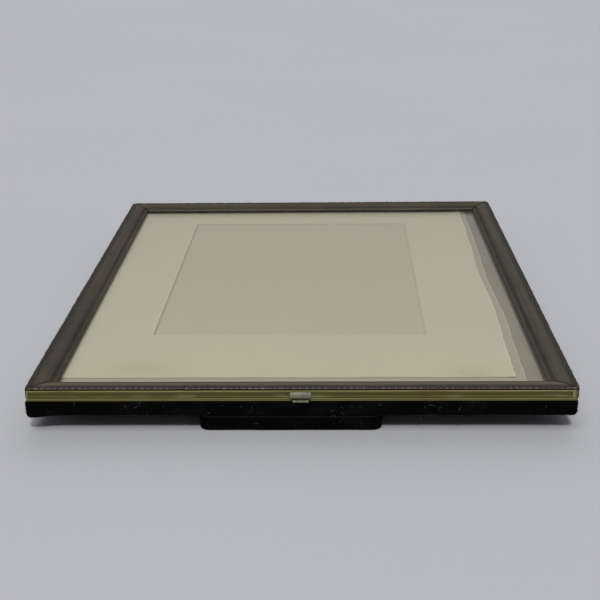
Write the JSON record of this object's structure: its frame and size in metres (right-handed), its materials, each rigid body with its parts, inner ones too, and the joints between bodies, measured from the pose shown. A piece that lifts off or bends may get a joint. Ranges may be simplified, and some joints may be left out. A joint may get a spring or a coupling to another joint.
{
  "type": "tabletop display frame",
  "caption": "Glazed tabletop display frame with a hinged brass-banded front, a sunk-panel mount, a velvet back and a folding easel leg, lying on its back.",
  "frame": {"origin": "middle of the underside of the whole part, on the surface it lies on", "axes": "+X to the right, +Y towards the hinged edge, +Z out through the glass; the catch is at -Y"},
  "size_m": [0.212, 0.2668, 0.0191],
  "materials": {
    "bezel_bronze": "aged dark bronze over stamped metal, worn along the edges",
    "brass_band": "dull olive-gold brass with soft drawn lines",
    "catch_nickel": "pale worn nickel",
    "hinge_steel": "dull plated steel",
    "velvet": "black cotton velvet with a short pile",
    "lining_cloth": "thin black lining cloth, glued",
    "wood": "plain unfinished softwood board",
    "pad_board": "grey-mauve pulp board",
    "under_card": "thin cream card with a worn deckle edge",
    "mount_card": "matt cream card with a pressed panel",
    "glass": "clear flat picture glass"
  },
  "bodies": {
    "back": {"back_board": "wood", "batten_bottom": "wood", "batten_right": "wood", "batten_top": "wood", "batten_left": "wood", "back_velvet": "velvet", "rim_bottom": "brass_band", "rim_right": "brass_band", "rim_top": "brass_band", "rim_left": "brass_band", "backing_pad": "pad_board", "under_sheet": "under_card", "mount_sheet": "mount_card", "left_hinge_lower_leaf": "hinge_steel", "right_hinge_lower_leaf": "hinge_steel", "left_hinge_pin": "hinge_steel", "right_hinge_pin": "hinge_steel", "hinge_screws": "hinge_steel", "catch_bracket": "catch_nickel", "catch_pin": "hinge_steel", "leg_hinge_plate": "hinge_steel", "leg_hinge_pin": "hinge_steel", "leg_plate_rivets": "hinge_steel"},
    "front": {"bezel_bottom": "bezel_bronze", "bezel_right": "bezel_bronze", "bezel_top": "bezel_bronze", "bezel_left": "bezel_bronze", "band_bottom": "brass_band", "band_right": "brass_band", "band_top": "brass_band", "band_left": "brass_band", "glass": "glass", "glass_tabs": "brass_band", "corner_braces": "brass_band", "left_hinge_upper_leaf": "hinge_steel", "right_hinge_upper_leaf": "hinge_steel", "hinge_rivets": "hinge_steel"},
    "catch": {"catch_hasp": "catch_nickel"},
    "easel_leg": {"leg_board": "wood", "leg_velvet": "velvet", "leg_lining": "lining_cloth", "leg_hinge_leaf": "hinge_steel", "leg_leaf_rivets": "hinge_steel"}
  },
  "joints": [
    {"name": "front_hinge", "type": "hinge", "parent": "back", "child": "front", "pos_m": [0, 0.13228, 0.01455], "axis": [-1, 0, 0], "range_deg": [0, 180]},
    {"name": "catch_hinge", "type": "hinge", "parent": "back", "child": "catch", "pos_m": [0, -0.13273, 0.01355], "axis": [1, 0, 0], "range_deg": [0, 150]},
    {"name": "leg_hinge", "type": "hinge", "parent": "back", "child": "easel_leg", "pos_m": [-0.004, 0.07568, 0.0052], "axis": [1, 0, 0], "range_deg": [0, 30]}
  ]
}
